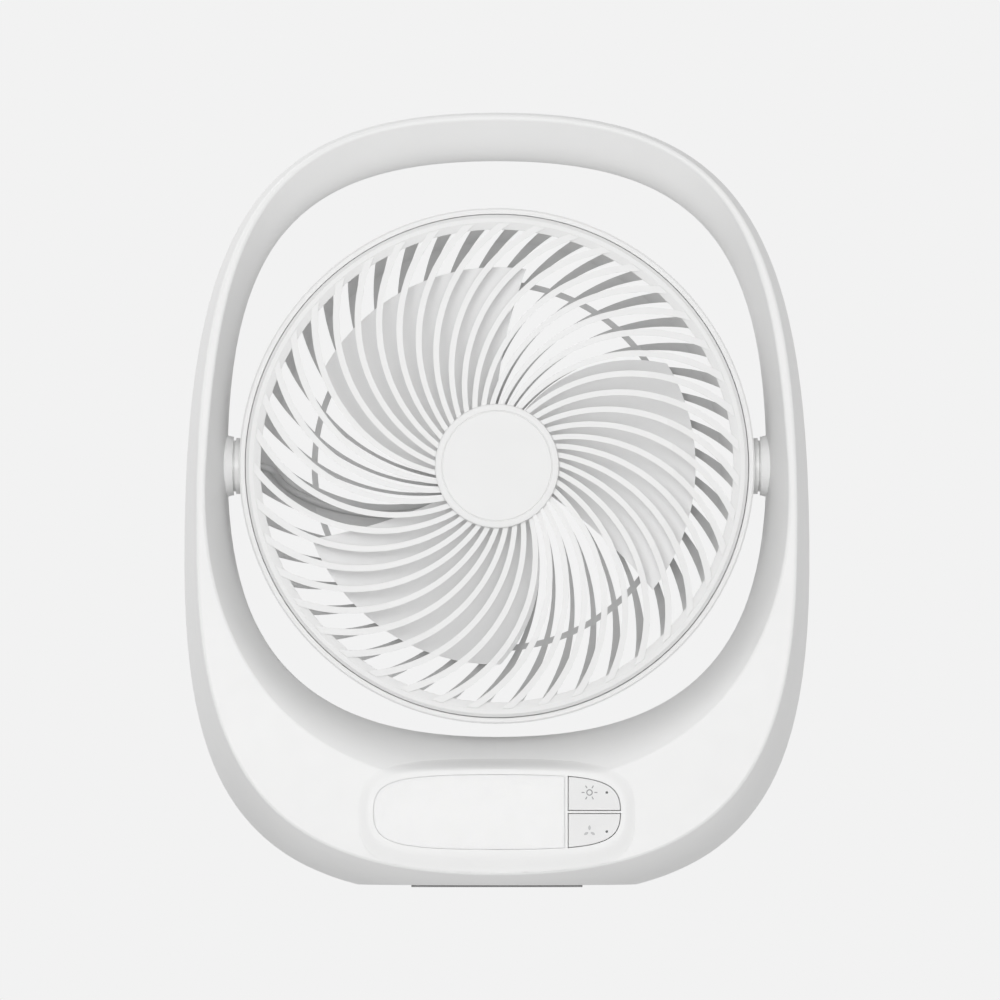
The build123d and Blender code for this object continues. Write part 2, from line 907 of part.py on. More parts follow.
# Rear housing: rim, rear grille and motor cup
cup_radius = motor_radius + cup_clearance
cup_outer = cup_radius + cup_wall
cup_front_y = motor_front_y - cup_front_wall
motor_back_y = motor_front_y + motor_length
rear_cap_radius = cup_radius + rear_cap_ledge
rear_cap_seat_y = rear_hub_y - rear_cap_thickness
rear_hub_inner_y = rear_dome[-1][1] - rear_rib_depth
rear_rib = swept_rib(
    rear_hub_radius - 1,
    rear_dome[0][0],
    (rear_rib_width, rear_rib_width, rear_rib_rim_width),
    rear_rib_arc_radius,
    rear_rib_arc_distance,
    rear_rib_arc_angle,
)
strut_arc_angle = strut_rim_angle - arc_angle_at(rim_inner_radius, rear_rib_arc_radius, rear_rib_arc_distance)
strut = swept_rib(
    rear_hub_radius - 1,
    rear_dome[0][0],
    (strut_width * 0.8, strut_width, strut_width),
    rear_rib_arc_radius,
    rear_rib_arc_distance,
    strut_arc_angle,
)
with BuildSketch() as rear_ring:
    Circle(rear_ring_radius + rear_ring_width / 2)
    Circle(rear_ring_radius - rear_ring_width / 2, mode=Mode.SUBTRACT)
rear_skin = rear_dome + [(0, rear_dome[-1][1]), (0, rear_hub_inner_y)]
rear_skin += [(radius, y - rear_rib_depth) for radius, y in reversed(rear_dome)]
motor_screw_points = [(way * motor_screw_spacing / 2, 0) for way in (-1, 1)]
grille_screw_points = [polar(grille_screw_circle, angle) for angle in grille_screw_angles]
with BuildPart() as rear_housing:
    with BuildSketch(head_plane):
        with PolarLocations(0, rear_rib_count):
            add(rear_rib)
        add(strut)
        add(rear_ring.sketch)
    extrude(amount=-far)
    add(turned(rear_skin), mode=Mode.INTERSECT)
    add(
        turned(
            [
                (rim_lip_radius, rim_front),
                (rim_radius - 0.6, rim_front),
                (rim_radius, rim_front + 0.6),
                (rim_radius, rim_straight_back),
                (rim_back_radius, rim_back),
                (rim_inner_radius, rim_back),
                (rim_inner_radius, rim_seat),
                (rim_lip_radius, rim_seat),
            ]
        )
    )
    add(
        turned(
            [
                (bush_outer_radius + cup_clearance, cup_front_y),
                (cup_outer, cup_front_y),
                (cup_outer, rear_hub_inner_y),
                (rear_hub_radius, rear_hub_inner_y),
                (rear_hub_radius, rear_hub_y - 1),
                (rear_hub_radius - 1, rear_hub_y),
                (rear_cap_radius, rear_hub_y),
                (rear_cap_radius, rear_cap_seat_y),
                (cup_radius, rear_cap_seat_y),
                (cup_radius, motor_front_y),
                (bush_outer_radius + cup_clearance, motor_front_y),
            ]
        )
    )
    for way in (-1, 1):
        add(
            rod((way * cup_outer * 2, 0, pivot_height), (way * far, 0, pivot_height), trunnion_radius),
            mode=Mode.SUBTRACT,
        )
    with BuildSketch(head_plane):
        with Locations(motor_screw_points):
            Circle(small_screw_radius + screw_clearance)
    extrude(amount=-motor_front_y, mode=Mode.SUBTRACT)
    with BuildSketch(head_plane):
        with Locations(grille_screw_points):
            Circle(small_screw_radius + screw_clearance)
    extrude(amount=far, mode=Mode.SUBTRACT)
    with BuildSketch(head_plane):
        with Locations(grille_screw_points):
            Circle(small_screw_head_radius + screw_clearance)
    extrude(amount=-far, mode=Mode.SUBTRACT)

with BuildPart() as rear_cap:
    add(ring(0, rear_cap_radius - rear_cap_clearance, rear_cap_seat_y, rear_hub_y))
    chamfer(rear_cap.faces().sort_by(Axis.Y)[-1].edges(), 0.5)

grille_screws = screws(
    [(x, 0, pivot_height + z) for x, z in grille_screw_points],
    (0, -1, 0),
    small_screw_head_radius,
    small_screw_head,
    small_screw_radius,
    grille_screw_bite - rim_seat,
)

motor_screws = screws(
    [(x, cup_front_y, pivot_height + z) for x, z in motor_screw_points],
    (0, 1, 0),
    small_screw_head_radius,
    small_screw_head,
    small_screw_radius,
    cup_front_wall + can_wall,
)

# Motor
with BuildPart() as motor_can:
    hole = small_screw_radius + screw_clearance
    add(
        turned(
            [
                (bush_outer_radius, motor_front_y),
                (motor_radius, motor_front_y),
                (motor_radius, motor_back_y),
                (motor_radius - can_wall, motor_back_y),
                (motor_radius - can_wall, motor_front_y + can_wall),
                (bush_outer_radius, motor_front_y + can_wall),
            ]
        )
    )
    for x, z in motor_screw_points:
        place = (x, motor_front_y, pivot_height + z)
        add(rod(place, (x, motor_front_y + can_wall, pivot_height + z), hole), mode=Mode.SUBTRACT)

with BuildPart() as motor_end_cap:
    cap_front = motor_back_y - 2
    add(ring(bush_outer_radius, motor_radius - can_wall, cap_front, motor_back_y))

with BuildPart() as motor_front_bush:
    add(ring(shaft_radius + shaft_clearance, bush_outer_radius, motor_front_y - 1, motor_front_y + bush_length - 1))

with BuildPart() as motor_rear_bush:
    add(ring(shaft_radius + shaft_clearance, bush_outer_radius, motor_back_y - bush_length, motor_back_y))

with BuildPart() as motor_magnets:
    add(ring(magnet_inner_radius, motor_radius - can_wall, magnet_front_y, magnet_back_y))
    with Locations((0, (magnet_front_y + magnet_back_y) / 2, pivot_height)):
        Box(magnet_inner_radius, far, 4 * motor_radius, mode=Mode.SUBTRACT)

with BuildPart() as motor_shaft:
    add(ring(0, shaft_radius, shaft_front_y, motor_back_y - 0.2))

with BuildPart() as motor_rotor:
    with BuildSketch(Plane(origin=(0, rotor_back_y, pivot_height), x_dir=(1, 0, 0), z_dir=(0, -1, 0))):
        Circle(rotor_radius)
        with PolarLocations(rotor_radius * 0.78, 3, start_angle=30):
            Circle(rotor_radius * 0.3, mode=Mode.SUBTRACT)
        with PolarLocations(rotor_radius, 3, start_angle=30):
            Rectangle(rotor_radius, rotor_radius * 0.2, mode=Mode.SUBTRACT)
        Circle(shaft_radius, mode=Mode.SUBTRACT)
    extrude(amount=rotor_back_y - rotor_front_y)

commutator_front_y = rotor_back_y
commutator_back_y = rotor_back_y + commutator_length
with BuildPart() as motor_commutator:
    add(ring(shaft_radius, commutator_radius, commutator_front_y, commutator_back_y))

with BuildPart() as motor_brushes:
    brush_middle = commutator_radius + brush_gap + brush_size / 2
    for way in (-1, 1):
        with Locations((0, (commutator_front_y + cap_front) / 2, pivot_height + way * brush_middle)):
            Box(brush_size, cap_front - commutator_front_y, brush_size)

# Impeller: each blade is a twisted, cambered plate cut to its front-view outline
with BuildPart() as blade_plate:
    sections = []
    for x, pitch in ((0, blade_root_pitch), (blade_tip_radius, blade_tip_pitch)):
        reach = blade_tip_radius
        rise = reach * math.tan(math.radians(pitch))
        front = -blade_forward - blade_thickness / 2
        back = -blade_forward + blade_thickness / 2
        with BuildSketch(Plane(origin=(x, 0, pivot_height), x_dir=(0, 1, 0), z_dir=(1, 0, 0))) as section:
            with BuildLine():
                ThreePointArc((front - rise, -reach), (front + blade_camber, 0), (front + rise, reach))
                Line((front + rise, reach), (back + rise, reach))
                ThreePointArc((back + rise, reach), (back + blade_camber, 0), (back - rise, -reach))
                Line((back - rise, -reach), (front - rise, -reach))
            make_face()
        sections.append(section.sketch)
    loft(sections, ruled=True)

with BuildPart() as blade:
    radii = (blade_root_radius, (blade_root_radius + blade_tip_radius) / 2, blade_tip_radius)
    trailing = [polar(radius, angle) for radius, angle in zip(radii, blade_trailing_angles)]
    leading = [polar(radius, angle) for radius, angle in zip(radii, blade_leading_angles)]
    with BuildSketch(head_plane):
        with BuildLine():
            ThreePointArc(*trailing)
            ThreePointArc(trailing[2], (blade_tip_radius, 0), leading[2])
            ThreePointArc(leading[2], leading[1], leading[0])
            Line(leading[0], trailing[0])
        make_face()
    extrude(amount=far, both=True)
    add(blade_plate.part, mode=Mode.INTERSECT)

with BuildPart() as impeller:
    for turn in range(blade_count):
        add(blade.part.rotate(spin_axis, turn * 360 / blade_count))
    hub_inner_radius = impeller_hub_radius - impeller_hub_wall
    hub_inner_y = impeller_hub_front_y + impeller_hub_wall + 1
    add(ring(0, hub_inner_radius, -far, far), mode=Mode.SUBTRACT)
    add(
        turned(
            [
                (0, impeller_hub_front_y),
                (impeller_hub_radius - impeller_hub_bevel, impeller_hub_front_y),
                (impeller_hub_radius, impeller_hub_front_y + impeller_hub_bevel),
                (impeller_hub_radius, impeller_hub_back_y),
                (hub_inner_radius, impeller_hub_back_y),
                (hub_inner_radius, hub_inner_y),
                (impeller_boss_radius, hub_inner_y),
                (impeller_boss_radius, impeller_boss_back_y),
                (0, impeller_boss_back_y),
            ]
        )
    )
    add(ring(0, shaft_radius, shaft_front_y, far), mode=Mode.SUBTRACT)

# Motor lead: up the left arm, through the hollow trunnion, and along the rear grille's strut
arm_lead = lead(
    [
        (lead_meeting_x - lead_gap, 0, pivot_height),
        (lead_drop_x, 0, pivot_height),
        (lead_drop_x, 0, pivot_height - 2 * pivot_boss_radius),
        *arm_lead_route,
        (lead_end_x, cell_rear_y, lead_end_z),
        (lead_end_x, charge_board_front_y, lead_end_z),
    ]
)

strut_points = []
for radius in (*head_lead_radii, cup_outer + lead_radius):
    x, z = polar(radius, strut_arc_angle + arc_angle_at(radius, rear_rib_arc_radius, rear_rib_arc_distance))
    for (outer, outer_y), (inner, inner_y) in zip(rear_dome, rear_dome[1:]):
        if inner <= radius <= outer:
            skin_y = outer_y + (inner_y - outer_y) * (outer - radius) / (outer - inner)
    if radius < rear_dome[-1][0]:
        skin_y = rear_dome[-1][1]
    strut_points.append((x, skin_y - rear_rib_depth - lead_radius - lead_clearance, pivot_height + z))
head_lead = lead(
    [
        (lead_meeting_x, 0, pivot_height),
        (head_lead_start_x, 0, pivot_height),
        *strut_points,
    ]
)

pieces = {
    "front_shell": front_shell,
    "rear_shell": rear_shell,
    "shell_screws": shell_screws,
    **feet,
    "light_lens": light_lens,
    "control_board": control_board,
    "control_board_screws": control_board_screws,
    "light_leds": light_leds,
    **buttons,
    "battery_holder": battery_holder,
    **cells,
    "charge_board": charge_board,
    "charge_board_screws": charge_board_screws,
    "charge_socket": charge_socket,
    **bushes,
    **trunnions,
    **washers,
    "front_grille": front_grille,
    "hub_cap": hub_cap,
    "rear_housing": rear_housing,
    "motor_can": motor_can,
    "motor_end_cap": motor_end_cap,
    "motor_front_bush": motor_front_bush,
    "motor_rear_bush": motor_rear_bush,
    "motor_magnets": motor_magnets,
    "motor_brushes": motor_brushes,
    "motor_screws": motor_screws,
    "rear_cap": rear_cap,
    "grille_screws": grille_screws,
    "arm_lead": arm_lead,
    "head_lead": head_lead,
    "motor_shaft": motor_shaft,
    "motor_rotor": motor_rotor,
    "motor_commutator": motor_commutator,
    "impeller": impeller,
}

for name, piece in pieces.items():
    piece.part.label = name
    export_step(piece.part, f"parts/{name}.step")
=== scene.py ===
"""Looks of a rechargeable desk fan: materials, small added pieces, stage, light and camera."""

import json
import math

import bmesh
import bpy
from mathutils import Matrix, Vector
from mathutils.bvhtree import BVHTree


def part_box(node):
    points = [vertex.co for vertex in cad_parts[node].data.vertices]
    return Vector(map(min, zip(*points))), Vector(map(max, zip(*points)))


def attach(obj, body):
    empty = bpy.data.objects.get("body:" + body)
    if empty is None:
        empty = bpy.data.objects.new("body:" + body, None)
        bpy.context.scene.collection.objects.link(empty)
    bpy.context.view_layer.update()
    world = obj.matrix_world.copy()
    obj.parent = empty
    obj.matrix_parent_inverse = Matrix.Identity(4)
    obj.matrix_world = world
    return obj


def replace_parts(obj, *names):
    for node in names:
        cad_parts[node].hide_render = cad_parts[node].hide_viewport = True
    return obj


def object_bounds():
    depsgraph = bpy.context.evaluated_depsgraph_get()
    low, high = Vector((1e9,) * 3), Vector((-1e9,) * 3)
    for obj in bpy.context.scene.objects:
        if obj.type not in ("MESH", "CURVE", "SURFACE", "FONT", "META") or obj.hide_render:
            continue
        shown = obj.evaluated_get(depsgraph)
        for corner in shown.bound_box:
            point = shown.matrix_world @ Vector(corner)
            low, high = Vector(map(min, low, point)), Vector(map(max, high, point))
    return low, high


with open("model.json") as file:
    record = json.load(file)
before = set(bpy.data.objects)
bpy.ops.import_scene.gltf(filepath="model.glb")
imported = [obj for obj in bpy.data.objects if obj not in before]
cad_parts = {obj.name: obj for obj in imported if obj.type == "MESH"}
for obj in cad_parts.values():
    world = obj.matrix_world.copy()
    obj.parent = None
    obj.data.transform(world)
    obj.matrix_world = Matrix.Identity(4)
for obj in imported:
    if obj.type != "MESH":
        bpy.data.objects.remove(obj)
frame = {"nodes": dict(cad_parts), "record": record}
cad_low, cad_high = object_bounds()
nodes = frame["nodes"]
scene = bpy.context.scene
scene.view_settings.view_transform = "Standard"

MM = 0.001
joints = {joint["name"]: joint for joint in frame["record"]["behaviour"]["joints"]}
pivot = joints["head_tilt"]["pos_m"]
pivot_z = pivot[2]
sides = {"left": -1, "right": 1}

# Values that the materials share
noise_low = 0.3
noise_high = 0.7
tone_size = 40 * MM
sheen_size = 6 * MM
sheen_change = 0.04
grain_detail = 3.0
grain_strength = 0.35
glow_depth = 2 * MM
glow_tint = (1, 1, 0.9)
metal_mark_size = 0.4 * MM
metal_mark_detail = 4.0
metal_mark_shade = 0.86
metal_mark_depth = 0.01 * MM
metal_mark_strength = 0.3
metal_smoother = 0.06
metal_rougher = 0.08


# Nodes of the materials
def new_material(name):
    """Empty node material and its principled shader."""
    material = bpy.data.materials.new(name)
    material.use_nodes = True
    tree = material.node_tree
    tree.nodes.clear()
    output = tree.nodes.new("ShaderNodeOutputMaterial")
    shader = tree.nodes.new("ShaderNodeBsdfPrincipled")
    tree.links.new(shader.outputs["BSDF"], output.inputs["Surface"])
    return material, shader


def own_place(tree):
    """The object's own coordinates, in metres."""
    return tree.nodes.new("ShaderNodeTexCoord").outputs["Object"]


def noise(tree, vector, size, detail=2.0):
    """Noise whose features are about size metres across."""
    node = tree.nodes.new("ShaderNodeTexNoise")
    node.inputs["Scale"].default_value = 1 / size
    node.inputs["Detail"].default_value = detail
    tree.links.new(vector, node.inputs["Vector"])
    return node.outputs["Fac"]


def spread(tree, value, low, high, start=noise_low, end=noise_high):
    """Value that runs from low to high while the given one runs from start to end."""
    node = tree.nodes.new("ShaderNodeMapRange")
    node.inputs["From Min"].default_value = start
    node.inputs["From Max"].default_value = end
    node.inputs["To Min"].default_value = low
    node.inputs["To Max"].default_value = high
    tree.links.new(value, node.inputs["Value"])
    return node.outputs["Result"]


def two_tone(tree, value, first, second, start=noise_low, end=noise_high):
    """Colour that runs from the first to the second while the value runs from start to end."""
    node = tree.nodes.new("ShaderNodeValToRGB")
    low, high = node.color_ramp.elements
    low.position = start
    low.color = (*first, 1)
    high.position = end
    high.color = (*second, 1)
    tree.links.new(value, node.inputs["Fac"])
    return node.outputs["Color"]


def bump(tree, shader, height, distance, strength):
    """Surface relief from a height between 0 and 1, distance metres deep."""
    node = tree.nodes.new("ShaderNodeBump")
    node.inputs["Strength"].default_value = strength
    node.inputs["Distance"].default_value = distance
    tree.links.new(height, node.inputs["Height"])
    tree.links.new(node.outputs["Normal"], shader.inputs["Normal"])


def vector_math(tree, operation, vector, other=(0, 0, 0)):
    """Node that works on a vector and a constant one."""
    node = tree.nodes.new("ShaderNodeVectorMath")
    node.operation = operation
    node.inputs[1].default_value = other
    tree.links.new(vector, node.inputs[0])
    return node


def shaded(colour, factor):
    """Colour made darker by a factor."""
    return tuple(channel * factor for channel in colour)


# Kinds of material
def plastic(name, roughness, grain, relief, gloss):
    """Plastic with a fine spark-eroded grain and a slightly uneven sheen, its colour still to come."""
    material, shader = new_material(name)
    tree = material.node_tree
    place = own_place(tree)
    patches = noise(tree, place, sheen_size)
    sheen = spread(tree, patches, roughness - sheen_change, roughness + sheen_change)
    tree.links.new(sheen, shader.inputs["Roughness"])
    bump(tree, shader, noise(tree, place, grain, grain_detail), relief, grain_strength)
    shader.inputs["Specular IOR Level"].default_value = gloss
    return material, shader, place


def moulded(name, colour, roughness, grain, relief, drift=0.985, gloss=0.3, glow=0.0):
    """Moulded plastic with a slow drift of tone, and some light under its surface where glow is set."""
    material, shader, place = plastic(name, roughness, grain, relief, gloss)
    tree = material.node_tree
    tone = two_tone(tree, noise(tree, place, tone_size), shaded(colour, drift), colour)
    tree.links.new(tone, shader.inputs["Base Color"])
    if glow:
        shader.inputs["Subsurface Weight"].default_value = glow
        shader.inputs["Subsurface Radius"].default_value = glow_tint
        shader.inputs["Subsurface Scale"].default_value = glow_depth
    return material


def painted_shade_grille(name, finish, rib_shade_colour, rim_colour, rib_end, rim_start):
    """Grille with painted shade: its colour runs from the ribs' painted grey shade to the rim's colour
    between two radii about the head's axis.
    """
    material, shader, place = plastic(name, **finish)
    tree = material.node_tree
    from_pivot = vector_math(tree, "SUBTRACT", place, pivot).outputs["Vector"]
    front_view = vector_math(tree, "MULTIPLY", from_pivot, (1, 0, 1)).outputs["Vector"]
    radius = vector_math(tree, "LENGTH", front_view).outputs["Value"]
    share = spread(tree, radius, 0, 1, rib_end, rim_start)
    tree.links.new(two_tone(tree, share, rib_shade_colour, rim_colour, 0, 1), shader.inputs["Base Color"])
    return material


def metal(name, colour, roughness, stretch):
    """Metal with fine marks, drawn out into lines across an axis whose stretch is more than 1."""
    material, shader = new_material(name)
    tree = material.node_tree
    mapping = tree.nodes.new("ShaderNodeMapping")
    mapping.inputs["Scale"].default_value = stretch
    tree.links.new(own_place(tree), mapping.inputs["Vector"])
    marks = noise(tree, mapping.outputs["Vector"], metal_mark_size, metal_mark_detail)
    tone = two_tone(tree, marks, shaded(colour, metal_mark_shade), colour)
    sheen = spread(tree, marks, roughness - metal_smoother, roughness + metal_rougher)
    tree.links.new(tone, shader.inputs["Base Color"])
    tree.links.new(sheen, shader.inputs["Roughness"])
    bump(tree, shader, marks, metal_mark_depth, metal_mark_strength)
    shader.inputs["Metallic"].default_value = 1.0
    return material


# Materials: each plastic has a colour, a roughness, and its grain's size and depth
white = (0.80, 0.80, 0.797)
grille_finish = {"roughness": 0.50, "grain": 0.22 * MM, "relief": 0.008 * MM, "gloss": 0.2}
materials = {
    "shell": moulded("white_shell", white, 0.46, 0.22 * MM, 0.010 * MM),
    "grille": moulded("white_grille", white, **grille_finish),
    # The blades' white is lighter than the shell's: painted light that offsets the shade the front grille
    # casts on them
    "blade": moulded("white_blade_painted_light", (0.88, 0.88, 0.88), 0.40, 0.30 * MM, 0.006 * MM),
    "lens": moulded("milky_lens", white, 0.40, 0.12 * MM, 0.004 * MM, drift=0.99, glow=0.3),
    "button": moulded("white_button", (0.74, 0.74, 0.738), 0.44, 0.20 * MM, 0.008 * MM),
    "indicator": moulded("smoked_guide", (0.012, 0.012, 0.013), 0.22, 0.10 * MM, 0.003 * MM, drift=0.9),
    "bearing": moulded("white_bearing", (0.78, 0.78, 0.775), 0.34, 0.25 * MM, 0.004 * MM),
    "foot": moulded("grey_rubber", (0.32, 0.32, 0.32), 0.78, 0.35 * MM, 0.030 * MM, drift=0.9),
    "screw": metal("zinc_screw", (0.55, 0.56, 0.58), 0.34, (1, 1, 1)),
    "board": moulded("green_board", (0.02, 0.16, 0.07), 0.36, 0.60 * MM, 0.010 * MM, drift=0.7),
    "led": moulded("phosphor", (0.85, 0.68, 0.16), 0.40, 0.15 * MM, 0.006 * MM, drift=0.9),
    "switch": moulded("black_moulding", (0.025, 0.025, 0.026), 0.48, 0.25 * MM, 0.010 * MM, drift=0.8),
    "holder": moulded("black_holder", (0.030, 0.030, 0.031), 0.50, 0.30 * MM, 0.012 * MM, drift=0.8),
    "cell": moulded("blue_sleeve", (0.03, 0.14, 0.36), 0.30, 0.80 * MM, 0.006 * MM, drift=0.85),
    "socket": metal("socket_steel", (0.62, 0.62, 0.64), 0.28, (1, 12, 1)),
    "motor_steel": metal("motor_steel", (0.60, 0.60, 0.61), 0.32, (1, 10, 1)),
    "magnet": moulded("ferrite", (0.05, 0.05, 0.052), 0.62, 0.30 * MM, 0.015 * MM, drift=0.75),
    "bush_metal": metal("bronze", (0.55, 0.36, 0.17), 0.42, (1, 1, 1)),
    "copper": metal("copper", (0.72, 0.34, 0.20), 0.34, (1, 8, 1)),
    "lead": moulded("white_sleeve", (0.72, 0.72, 0.71), 0.52, 0.40 * MM, 0.010 * MM),
}
mark_ink = moulded("grey_ink", (0.30, 0.30, 0.305), 0.5, 0.10 * MM, 0.002 * MM, drift=0.95)
pale_ink = moulded("pale_grey_ink", (0.48, 0.48, 0.485), 0.5, 0.10 * MM, 0.002 * MM, drift=0.95)

# The rear ribs and the lead on their strut get painted shade: a grey colour stands in for the head's shade
# on them
rib_painted_shade = (0.55, 0.55, 0.55)
rib_end = 84 * MM
rim_start = 90 * MM
own_materials = {
    # The rear grille's ribs are painted grey as shade, fading into the white rim
    "rear_housing": painted_shade_grille("rear_grille_painted_shade", grille_finish, rib_painted_shade, white, rib_end, rim_start),
    # The lead's grey is painted shade, matching the ribs' painted shade
    "head_lead": moulded("painted_shade_sleeve", (0.50, 0.50, 0.50), 0.55, 0.40 * MM, 0.010 * MM),
}

for entry in frame["record"]["subparts"]:
    node_name = entry["node"]
    node_materials = nodes[node_name].data.materials
    node_materials.clear()
    node_materials.append(own_materials.get(node_name, materials[entry["material_slot"]]))

# Making pieces
sharp_angle = math.radians(35)
round_steps = 96


def link_mesh(name, mesh, material):
    """Smooth object of a finished mesh, linked to the scene."""
    data = bpy.data.meshes.new(name)
    mesh.to_mesh(data)
    mesh.free()
    for polygon in data.polygons:
        polygon.use_smooth = True
    data.materials.append(material)
    linked = bpy.data.objects.new(name, data)
    scene.collection.objects.link(linked)
    return linked


def make_piece(name, mesh, slot, body, material=None):
    """Piece of the fan that rides on a body, in its slot's material if no other is given."""
    bmesh.ops.recalc_face_normals(mesh, faces=mesh.faces)
    piece = link_mesh(name, mesh, material or materials[slot])
    piece.data.set_sharp_from_angle(angle=sharp_angle)
    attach(piece, body)
    return piece


def circle(radius, steps):
    """Points (across, up) round a circle."""
    angles = [2 * math.pi * i / steps for i in range(steps)]
    return [(radius * math.cos(angle), radius * math.sin(angle)) for angle in angles]


def turned(profile, place, steps):
    """Loops for (radius, along) points turned about an axis; place maps (across, up, along) to a point."""
    return [[place(across, up, along) for across, up in circle(radius, steps)] for radius, along in profile]


def add_skin(mesh, loops, closed):
    """Faces from each loop of points to the next, and to the first again if closed; gives the vertices."""
    rings = [[mesh.verts.new(point) for point in loop] for loop in loops]
    following = rings[1:] + rings[:1] if closed else rings[1:]
    for near, far in zip(rings, following):
        for i in range(len(near)):
            j = (i + 1) % len(near)
            mesh.faces.new((near[i], far[i], far[j], near[j]))
    return rings


def add_solid(mesh, loops):
    """Skin over loops of points with a flat face at each end."""
    rings = add_skin(mesh, loops, closed=False)
    mesh.faces.new(rings[0])
    mesh.faces.new(list(reversed(rings[-1])))


def make_ring(name, profile, place, slot, body, steps=round_steps):
    """Piece with a hole, turned from a closed profile of (radius, along) points."""
    mesh = bmesh.new()
    add_skin(mesh, turned(profile, place, steps), closed=True)
    return make_piece(name, mesh, slot, body)


def make_disc(name, profile, place, slot, body, steps=round_steps):
    """Piece without a hole, turned from (radius, along) points that run from its front face to its back."""
    mesh = bmesh.new()
    add_solid(mesh, turned(profile, place, steps))
    return make_piece(name, mesh, slot, body)


def band(inner, outer, start, end):
    """Profile of a plain ring between two radii and two places along its axis."""
    return [(inner, start), (outer, start), (outer, end), (inner, end)]


def facing(x, z):
    """Places for turning about an axis that runs front to back through a front-view point."""
    return lambda across, up, along: (x + across, along, z + up)


def on_pivot(across, up, along):
    """Place for turning about the axis that the head tilts on."""
    return (along, across, pivot_z + up)


# Hub of the front grille: a wider ring and cap than the solids have
on_head = facing(0, pivot_z)
hub_proud = 0.4 * MM
hub_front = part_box("hub_cap")[0].y - hub_proud
cap_radius = 20.5 * MM
cap_edge = 0.25 * MM
cap_thickness = 1.2 * MM
hub_gap = 0.25 * MM
ring_inner = cap_radius + hub_gap
ring_outer = 23.2 * MM
ring_back = -21.4 * MM
ring_lip = 1.0 * MM
ring_relief = 0.25 * MM
ring_chamfer = 0.2 * MM
ring_round = 0.6 * MM
ring_shoulder_width = 0.15 * MM
ring_shoulder_depth = 0.2 * MM

hub_ring = [
    (ring_inner, hub_front + ring_lip),
    (ring_inner, hub_front + ring_chamfer),
    (ring_inner + ring_chamfer, hub_front),
    (ring_outer - ring_round, hub_front),
    (ring_outer - ring_shoulder_width, hub_front + ring_shoulder_depth),
    (ring_outer, hub_front + ring_round),
    (ring_outer, ring_back),
    (ring_inner + ring_relief, ring_back),
]
make_ring("hub_ring", hub_ring, on_head, "grille", "head")

hub_cover = [
    (cap_radius - cap_edge, hub_front),
    (cap_radius, hub_front + cap_edge),
    (cap_radius, hub_front + cap_thickness),
]
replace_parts(make_disc("hub_cover", hub_cover, on_head, "grille", "head"), "hub_cap")

# Pivots: each boss spreads softly into its arm, in millimetres from the pivot's axis and along it
collar = [
    (11.02, 99.2),
    (11.15, 99.5),
    (11.4, 100.5),
    (11.9, 102.0),
    (12.7, 103.5),
    (13.8, 105.0),
    (15.2, 106.2),
    (16.8, 107.2),
    (11.02, 107.2),
]
for name, way in sides.items():
    profile = [(radius * MM, way * along * MM) for radius, along in collar]
    make_ring(f"{name}_pivot_collar", profile, on_pivot, "shell", "frame")

# Liners close the view through each pivot's gap, one on the arm and one on the head
liner_inner = 6.3 * MM
liner_outer = 9.6 * MM
liners = [
    {"piece": "arm_liner", "body": "frame", "start": 98.6 * MM, "end": 100.0 * MM},
    {"piece": "head_liner", "body": "head", "start": 97.0 * MM, "end": 98.5 * MM},
]
for liner in liners:
    for name, way in sides.items():
        profile = band(liner_inner, liner_outer, way * liner["start"], way * liner["end"])
        make_ring(f"{name}_{liner['piece']}", profile, on_pivot, "bearing", liner["body"])

# The front shell's surface, which the next pieces follow
front_shell = nodes["front_shell"].data
front_tree = BVHTree.FromPolygons(
    [vertex.co for vertex in front_shell.vertices],
    [polygon.vertices for polygon in front_shell.polygons],
)
cast_start = -0.2


def front_depth(x, z):
    """Depth of the front shell's surface at a front-view point, or None where there is no shell."""
    place = front_tree.ray_cast(Vector((x, cast_start, z)), Vector((0, 1, 0)))[0]
    return None if place is None else place.y


# Plugs over the screws in the arms, flush with the rear shell, which mirrors the front one there
plug_x = 106.8 * MM
plug_z = 203.0 * MM
plug_radius = 2.78 * MM
plug_seat = 8.2 * MM
plug_sink = 0.2 * MM
plug_rounds = 24
plug_spokes = 48


def plug_depth(x, z):
    """Depth of a plug's surface: the rear shell's, or the seat where the shell ends before it."""
    depth = front_depth(x, z)
    return plug_seat if depth is None else max(plug_seat, -depth)


def plug_point(x, z):
    """Point of a plug's surface."""
    return (x, plug_depth(x, z), z)


for name, way in sides.items():
    middle_x = way * plug_x
    loops = []
    for i in range(1, plug_rounds + 1):
        points = circle(plug_radius * i / plug_rounds, plug_spokes)
        loops.append([plug_point(middle_x + across, plug_z + up) for across, up in points])
    loops.append([(x, plug_seat - plug_sink, z) for x, y, z in loops[-1]])
    mesh = bmesh.new()
    rings = add_skin(mesh, loops, closed=False)
    middle_vertex = mesh.verts.new(plug_point(middle_x, plug_z))
    for i in range(plug_spokes):
        mesh.faces.new((middle_vertex, rings[0][i], rings[0][(i + 1) % plug_spokes]))
    mesh.faces.new(rings[-1])
    make_piece(f"{name}_arm_plug", mesh, "shell", "frame")

# Surround of the lamp panel: the bezel's edge swells softly out of the face, most softly below the panel
lens_low, lens_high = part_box("light_lens")
panel_half_width = -lens_low.x
panel_top = lens_high.z
panel_bottom = lens_low.z
panel_middle = (panel_top + panel_bottom) / 2
panel_fullness = 0.85
panel_quarter_steps = 40
bezel_width = 2.4 * MM
bezel_round = 0.7 * MM
bezel_clear = 0.1 * MM
surround_reach = 3.4 * MM
surround_low_reach = 6.0 * MM
surround_margin = 0.01 * MM
surround_thickness = 1.2 * MM
surround_rounds = 14


